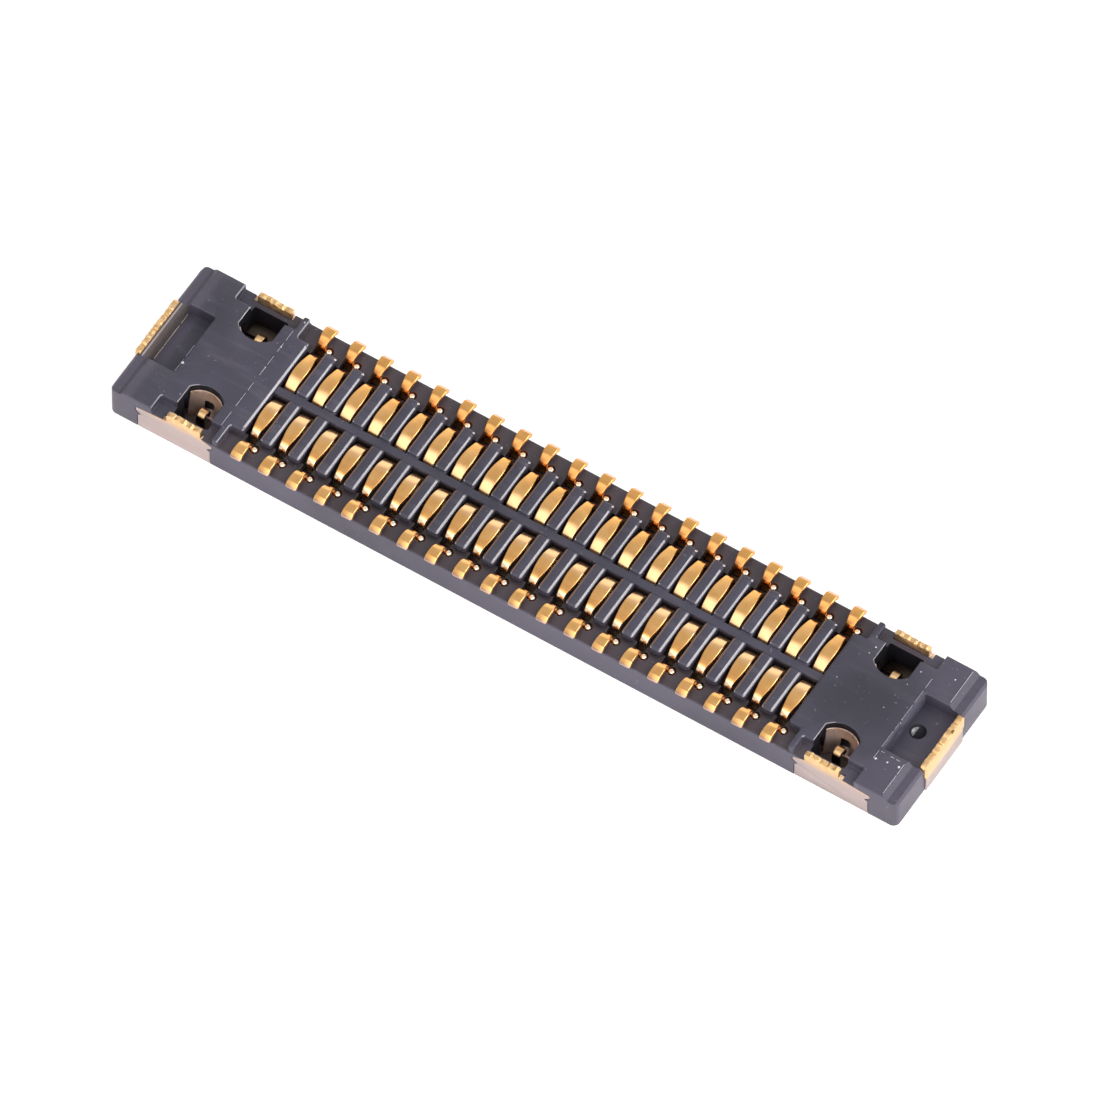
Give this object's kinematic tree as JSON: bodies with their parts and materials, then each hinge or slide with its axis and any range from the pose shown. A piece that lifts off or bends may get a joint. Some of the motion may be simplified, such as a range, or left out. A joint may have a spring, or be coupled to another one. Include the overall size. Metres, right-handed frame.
{
  "type": "board to board connector receptacle",
  "caption": "Low-profile board to board receptacle: slotted moulded housing, rows of formed spring contacts with solder tails, and a plated fitting at each end.",
  "frame": {"origin": "bottom centre: on the mating rim's plane, under the middle of the two contact rows", "axes": "+X along the contact rows, -Y the near row, +Z out of the solder side"},
  "size_m": [0.01, 0.002, 0.0005],
  "materials": {
    "housing": "dark blue-grey liquid crystal polymer, fine satin moulded surface",
    "contact": "gold plated copper alloy strip, satin with fine rolling lines",
    "fitting": "pale plated copper alloy sheet with gold toned solder edges"
  },
  "bodies": {
    "root": {"housing": "housing", "fitting_left": "fitting", "fitting_right": "fitting", "island_cover_left": "fitting", "island_cover_right": "fitting", "contact_near_01": "contact", "contact_near_02": "contact", "contact_near_03": "contact", "contact_near_04": "contact", "contact_near_05": "contact", "contact_near_06": "contact", "contact_near_07": "contact", "contact_near_08": "contact", "contact_near_09": "contact", "contact_near_10": "contact", "contact_near_11": "contact", "contact_near_12": "contact", "contact_near_13": "contact", "contact_near_14": "contact", "contact_near_15": "contact", "contact_near_16": "contact", "contact_near_17": "contact", "contact_near_18": "contact", "contact_near_19": "contact", "contact_near_20": "contact", "contact_far_01": "contact", "contact_far_02": "contact", "contact_far_03": "contact", "contact_far_04": "contact", "contact_far_05": "contact", "contact_far_06": "contact", "contact_far_07": "contact", "contact_far_08": "contact", "contact_far_09": "contact", "contact_far_10": "contact", "contact_far_11": "contact", "contact_far_12": "contact", "contact_far_13": "contact", "contact_far_14": "contact", "contact_far_15": "contact", "contact_far_16": "contact", "contact_far_17": "contact", "contact_far_18": "contact", "contact_far_19": "contact", "contact_far_20": "contact"}
  },
  "joints": []
}
